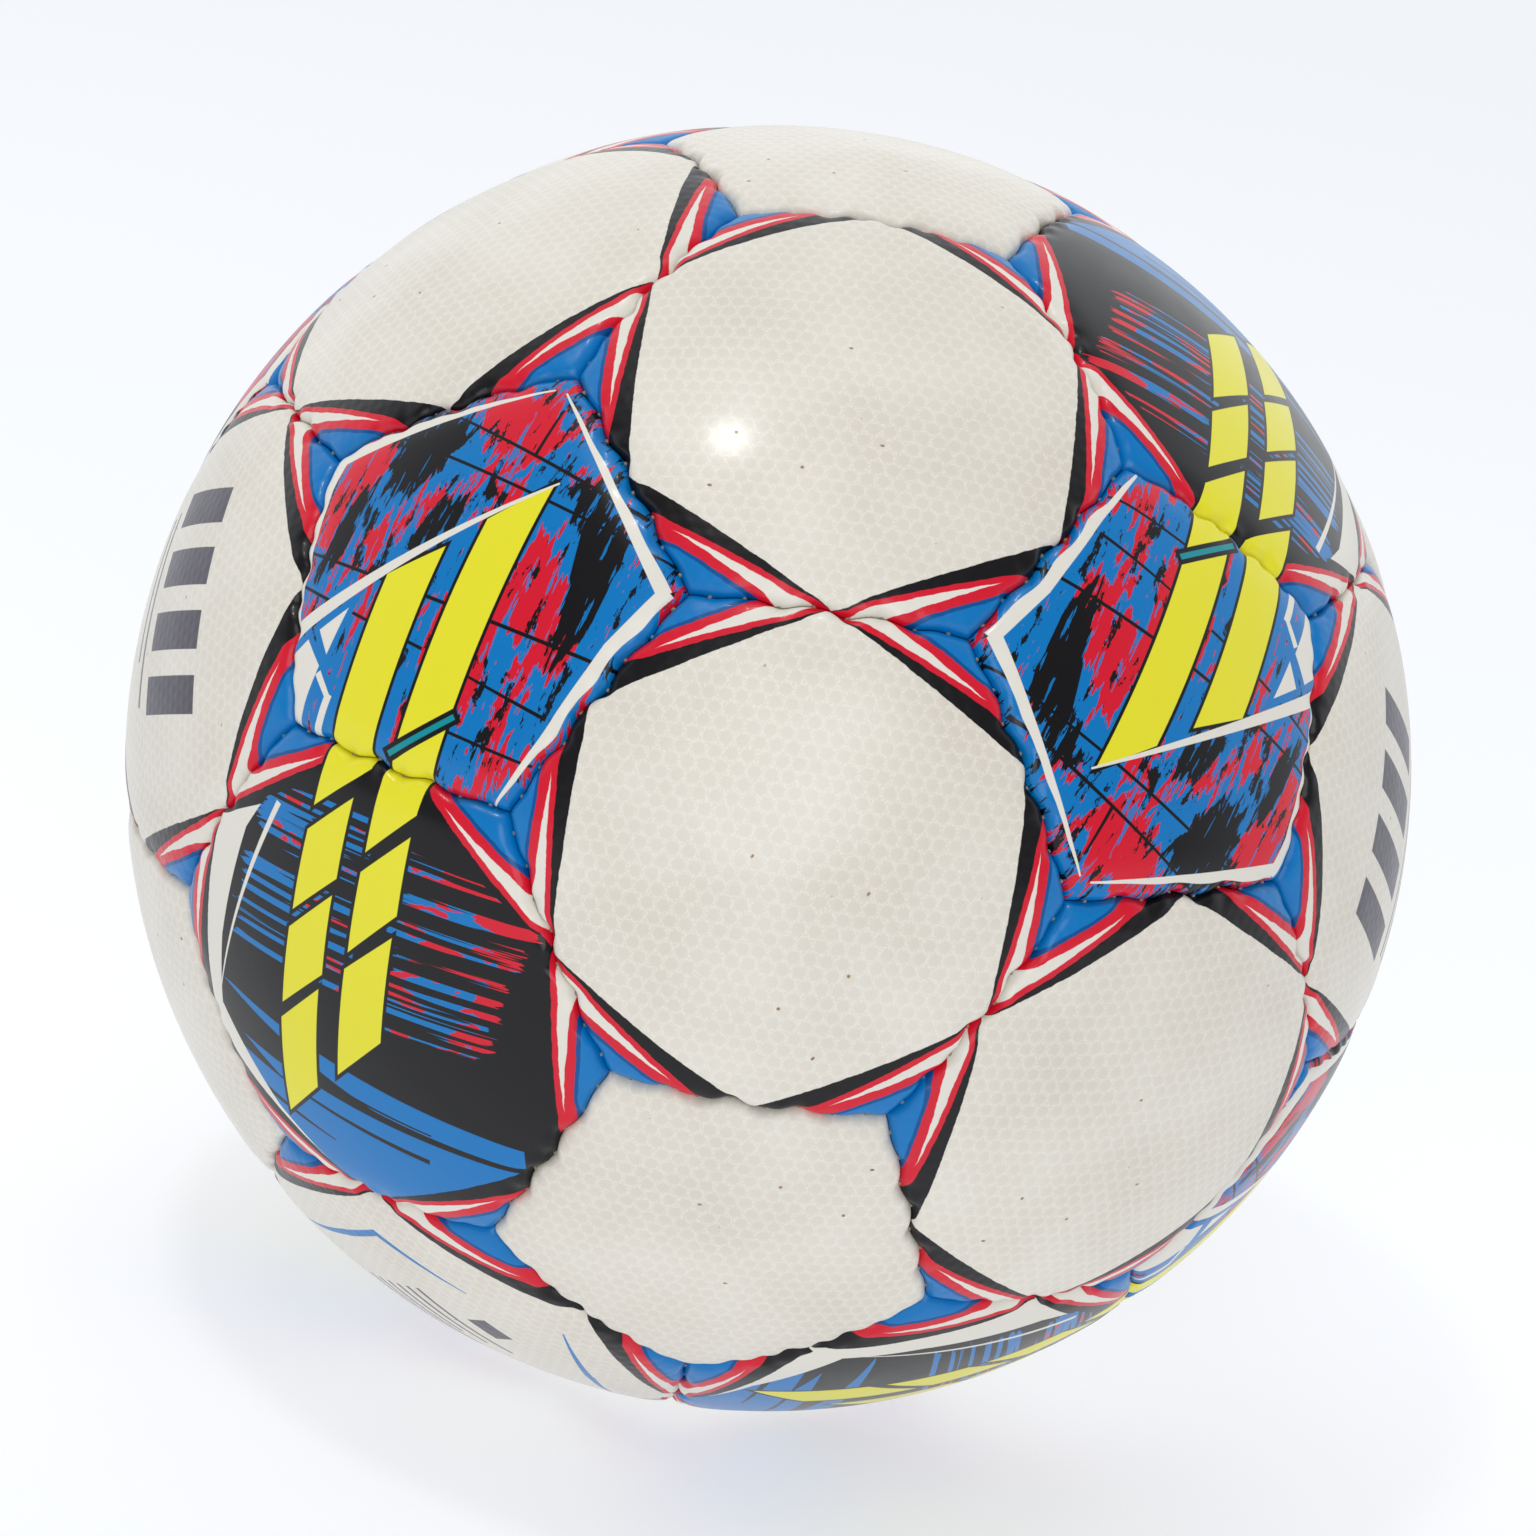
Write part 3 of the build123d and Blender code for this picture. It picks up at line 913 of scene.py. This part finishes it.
# Lining: layers of woven cotton and polyester, laminated with glue and cut with the panel. They lie
# behind the foam and keep the panel from stretching.
lining, tree, shader = plain_material("lining_cloth", 0.8)
point = object_point(tree)
yarns = []
for axis in ("X", "Y", "Z"):
    wave = tree.nodes.new("ShaderNodeTexWave")
    wave.bands_direction = axis
    wave.inputs["Scale"].default_value = 0.35
    wave.inputs["Distortion"].default_value = 0.6
    feed(tree, wave.inputs["Vector"], point)
    yarns.append(wave.outputs["Fac"])
upper_yarn = maths(tree, "MAXIMUM", yarns[0], yarns[1])
weave = maths(tree, "MULTIPLY", upper_yarn, maths(tree, "ADD", yarns[2], 0.4), clamp=True)
cloth_dark = colour(176, 168, 150)
cloth_light = colour(226, 220, 204)
feed(tree, shader.inputs["Base Color"], mix_colours(tree, weave, cloth_dark, cloth_light))
relief(tree, shader, weave, 0.12 * MM)
dress(("lining_pentagons", "lining_hexagons"), lining)


# Bladder: a thin balloon of butyl rubber with its rubber valve, cured in a mould. It is patched where the
# valve goes in and, for balance, on the far side. The valve's soft plug grips the needle.
def rubber(name, dark, light, scale, roughness):
    """Moulded rubber, dusted with talc in patches."""
    material, tree, shader = plain_material(name, roughness)
    point = object_point(tree)
    dusting = grain(tree, point, scale, detail=4.0, rough=0.6)
    patches = above(tree, dusting, level=0.52, softness=0.3)
    feed(tree, shader.inputs["Base Color"], mix_colours(tree, patches, dark, light))
    feed(tree, shader.inputs["Roughness"], maths(tree, "MULTIPLY_ADD", dusting, 0.3, roughness - 0.15))
    relief(tree, shader, grain(tree, point, 2.5, detail=3.0), 0.05 * MM)
    return material


dress(["bladder"], rubber("butyl_rubber", colour(30, 30, 32), colour(62, 62, 64), 0.12, 0.55))
dress(["valve_socket"], rubber("valve_rubber", colour(24, 24, 26), colour(46, 46, 48), 0.3, 0.5))
dress(["valve_plug"], rubber("plug_rubber", colour(170, 166, 156), colour(204, 200, 190), 0.4, 0.45))
dress(
    ("valve_patch", "balance_patch", "valve_washer"),
    rubber("patch_rubber", colour(44, 43, 45), colour(84, 82, 80), 0.2, 0.6),
)

# Floor: a wide pale sheet of paper under the ball. It glows a little, so that it stays nearly white and
# the ball's shadow on it stays soft.
floor_size = 12.0
floor_mesh = bmesh.new()
bmesh.ops.create_grid(floor_mesh, x_segments=2, y_segments=2, size=floor_size)
bmesh.ops.translate(floor_mesh, verts=floor_mesh.verts[:], vec=(0, 0, cad_box[0].z))
sheet = bpy.data.meshes.new("floor")
floor_mesh.to_mesh(sheet)
floor_mesh.free()
floor = bpy.data.objects.new("floor", sheet)
bpy.context.scene.collection.objects.link(floor)
paper, tree, shader = plain_material("floor_paper", 0.9)
shader.inputs["Specular IOR Level"].default_value = 0.0
shader.inputs["Emission Color"].default_value = (0.95, 0.965, 1.0, 1)
shader.inputs["Emission Strength"].default_value = 0.6
tooth = grain(tree, object_point(tree), 0.004)
paper_dark = (0.44, 0.45, 0.465, 1)
paper_light = (0.455, 0.465, 0.48, 1)
feed(tree, shader.inputs["Base Color"], mix_colours(tree, tooth, paper_dark, paper_light))
sheet.materials.append(paper)

# Light: a white room, brighter behind the ball than behind the camera, and three lamps. A small one
# overhead gives the crisp highlight, and two large soft ones fill from the camera and from above.
camera_back = direction(302.755, 18.355)
camera_up = Vector((-0.31576, 0.16543, 0.93430))
camera_up = (camera_up - camera_up.dot(camera_back) * camera_back).normalized()
camera_right = camera_up.cross(camera_back)
room = bpy.data.worlds.new("room")
room.use_nodes = True
tree = room.node_tree
way = tree.nodes.new("ShaderNodeTexCoord").outputs["Generated"]
facing = vector_maths(tree, "DOT_PRODUCT", way, camera_back)
wall = tree.nodes.new("ShaderNodeMapRange")
feed(tree, wall.inputs["Value"], facing)
for label, value in (("From Min", -0.35), ("From Max", 0.45), ("To Min", 1.25), ("To Max", 0.26)):
    wall.inputs[label].default_value = value
tree.nodes["Background"].inputs["Color"].default_value = (0.96, 0.98, 1.0, 1)
feed(tree, tree.nodes["Background"].inputs["Strength"], wall.outputs[0])
bpy.context.scene.world = room
lamp_distance = 1.5  # metres


def hang_lamp(name, right, up, back, size, power):
    """A round soft lamp that faces the ball, placed by the camera's own directions."""
    lamp = bpy.data.lights.new(name, "AREA")
    lamp.shape = "DISK"
    lamp.size = size
    lamp.energy = power
    holder = bpy.data.objects.new(name, lamp)
    way = (camera_right * right + camera_up * up + camera_back * back).normalized()
    turn = way.to_track_quat("Z", "Y").to_matrix().to_4x4()
    holder.matrix_world = Matrix.Translation(way * lamp_distance) @ turn
    bpy.context.scene.collection.objects.link(holder)


hang_lamp("top_lamp", right=-0.09, up=0.83, back=0.55, size=0.16, power=3.4)
hang_lamp("front_lamp", right=0.05, up=0.0, back=0.99, size=1.0, power=7.5)
hang_lamp("sky_lamp", right=0.0, up=0.85, back=0.5, size=1.2, power=4.0)

# Camera: a long lens, a little above the ball's middle and rolled slightly, so that the ball's own
# upright leans to the right.
camera_distance = 8.255 * ball_r
lens = bpy.data.cameras.new("camera")
lens.sensor_width = 36
lens.lens = 123.7
camera = bpy.data.objects.new("camera", lens)
turn = Matrix((camera_right, camera_up, camera_back)).transposed().to_4x4()
camera.matrix_world = Matrix.Translation(camera_back * camera_distance) @ turn
bpy.context.scene.collection.objects.link(camera)
bpy.context.scene.camera = camera
bpy.context.scene.view_settings.view_transform = "Standard"
